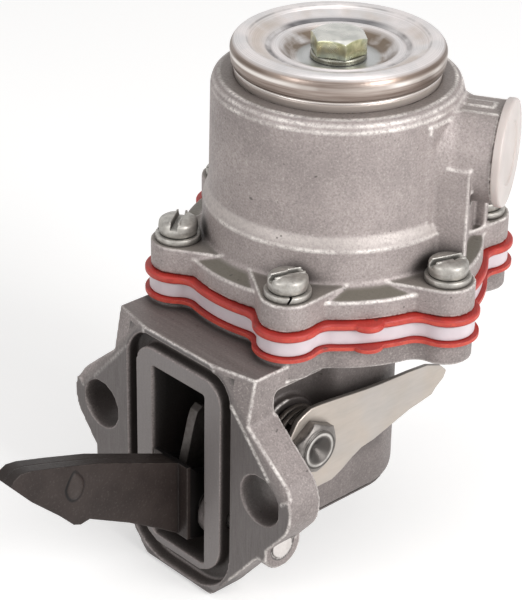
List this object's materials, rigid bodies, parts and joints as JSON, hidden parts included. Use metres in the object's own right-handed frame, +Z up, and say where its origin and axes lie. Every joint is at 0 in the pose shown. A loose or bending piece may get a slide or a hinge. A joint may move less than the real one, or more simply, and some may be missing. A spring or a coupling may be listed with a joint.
{
  "type": "diaphragm fuel lift pump",
  "caption": "Flange-mounted diaphragm fuel lift pump with a cam rocker arm, hand priming lever, twin clamped diaphragms and two plugged ports.",
  "frame": {"origin": "centre of the mounting face, midway between its two bolt holes", "axes": "-Y out of the mounting face, the way the rocker arm points; +Z up along the pump axis, towards the cover; +X towards the side of the hand priming lever"},
  "size_m": [0.0768, 0.1195, 0.1084],
  "materials": {
    "cast_lower": "sand-cast, satin",
    "cast_upper": "shot-blasted casting",
    "plastic_white": "translucent",
    "diaphragm_red": "coated fabric",
    "screw_zinc": "zinc plated",
    "cover_zinc": "bright zinc, faint yellow",
    "seal_black": "matt",
    "gauze_brass": "woven",
    "valve_brass": "turned",
    "spring_steel": "drawn wire",
    "plate_steel": "pressed",
    "rocker_steel": "dark phosphated",
    "pin_steel": "ground",
    "lever_steel": "satin, zinc plated"
  },
  "bodies": {
    "pump_body": {"lower_body": "cast_lower", "upper_body": "cast_upper", "spacer_ring": "plastic_white", "upper_diaphragm": "diaphragm_red", "lower_diaphragm": "diaphragm_red", "body_screws": "screw_zinc", "spring_washers": "screw_zinc", "top_cover": "cover_zinc", "cover_seal": "seal_black", "cover_bolt": "cover_zinc", "bolt_washer": "cover_zinc", "filter_screen": "gauze_brass", "inlet_valve_seat": "valve_brass", "inlet_valve_spring": "spring_steel", "outlet_valve_seat": "valve_brass", "outlet_valve_spring": "spring_steel", "diaphragm_spring": "spring_steel", "rod_seal": "seal_black", "seal_retainer": "plate_steel", "rocker_pin": "pin_steel", "rocker_spring": "spring_steel", "priming_spring": "spring_steel", "shaft_seal": "seal_black"},
    "rocker_arm": {"rocker_plate_right": "rocker_steel", "rocker_plate_left": "rocker_steel", "rocker_heel": "rocker_steel", "rocker_bush": "pin_steel"},
    "link": {"link_lever": "rocker_steel"},
    "diaphragm_train": {"pull_rod": "plate_steel", "upper_plate": "plate_steel", "middle_plate": "plate_steel", "lower_plate": "plate_steel"},
    "hand_lever": {"priming_shaft": "screw_zinc", "priming_lever": "lever_steel"},
    "inlet_disc": {"inlet_valve_disc": "seal_black"},
    "outlet_disc": {"outlet_valve_disc": "seal_black"},
    "inlet_cap": {"inlet_plug": "plastic_white"},
    "outlet_cap": {"outlet_plug": "plastic_white"}
  },
  "joints": [
    {"name": "rocker_hinge", "type": "hinge", "parent": "pump_body", "child": "rocker_arm", "pos_m": [0, 0.0044, -0.0114], "axis": [-1, 0, 0], "range_deg": [0, 5.5], "stiffness_Nm_per_rad": 0.4, "springref_deg": -17.19, "deforming": ["rocker_spring"]},
    {"name": "link_hinge", "type": "hinge", "parent": "pump_body", "child": "link", "pos_m": [0, 0.0044, -0.0114], "axis": [-1, 0, 0], "range_deg": [0, 5.6]},
    {"name": "rod_slide", "type": "slide", "parent": "pump_body", "child": "diaphragm_train", "axis": [0, 0, -1], "range_m": [0, 0.0036], "deforming": ["diaphragm_spring", "upper_diaphragm", "lower_diaphragm"]},
    {"name": "priming_hinge", "type": "hinge", "parent": "pump_body", "child": "hand_lever", "pos_m": [0.0175, 0.0187, 0.0024], "axis": [-1, 0, 0], "range_deg": [0, 30], "stiffness_Nm_per_rad": 0.05, "springref_deg": -17.19, "deforming": ["priming_spring"]},
    {"name": "inlet_disc_slide", "type": "slide", "parent": "pump_body", "child": "inlet_disc", "axis": [0, 0, -1], "range_m": [0, 0.001], "stiffness_N_per_m": 20, "springref_m": -0.001, "deforming": ["inlet_valve_spring"]},
    {"name": "outlet_disc_slide", "type": "slide", "parent": "pump_body", "child": "outlet_disc", "axis": [0, 0, 1], "range_m": [0, 0.001], "stiffness_N_per_m": 20, "springref_m": -0.001, "deforming": ["outlet_valve_spring"]},
    {"name": "inlet_cap_slide", "type": "slide", "parent": "pump_body", "child": "inlet_cap", "axis": [-0.866, 0.5, 0], "range_m": [0, 0.009]},
    {"name": "outlet_cap_slide", "type": "slide", "parent": "pump_body", "child": "outlet_cap", "axis": [0.866, 0.5, 0], "range_m": [0, 0.009]}
  ],
  "couplings": [
    {"joint": "link_hinge", "follows": "rocker_hinge", "ratio": 1},
    {"joint": "rod_slide", "follows": "rocker_hinge", "m_per_rad": 0.0371}
  ]
}
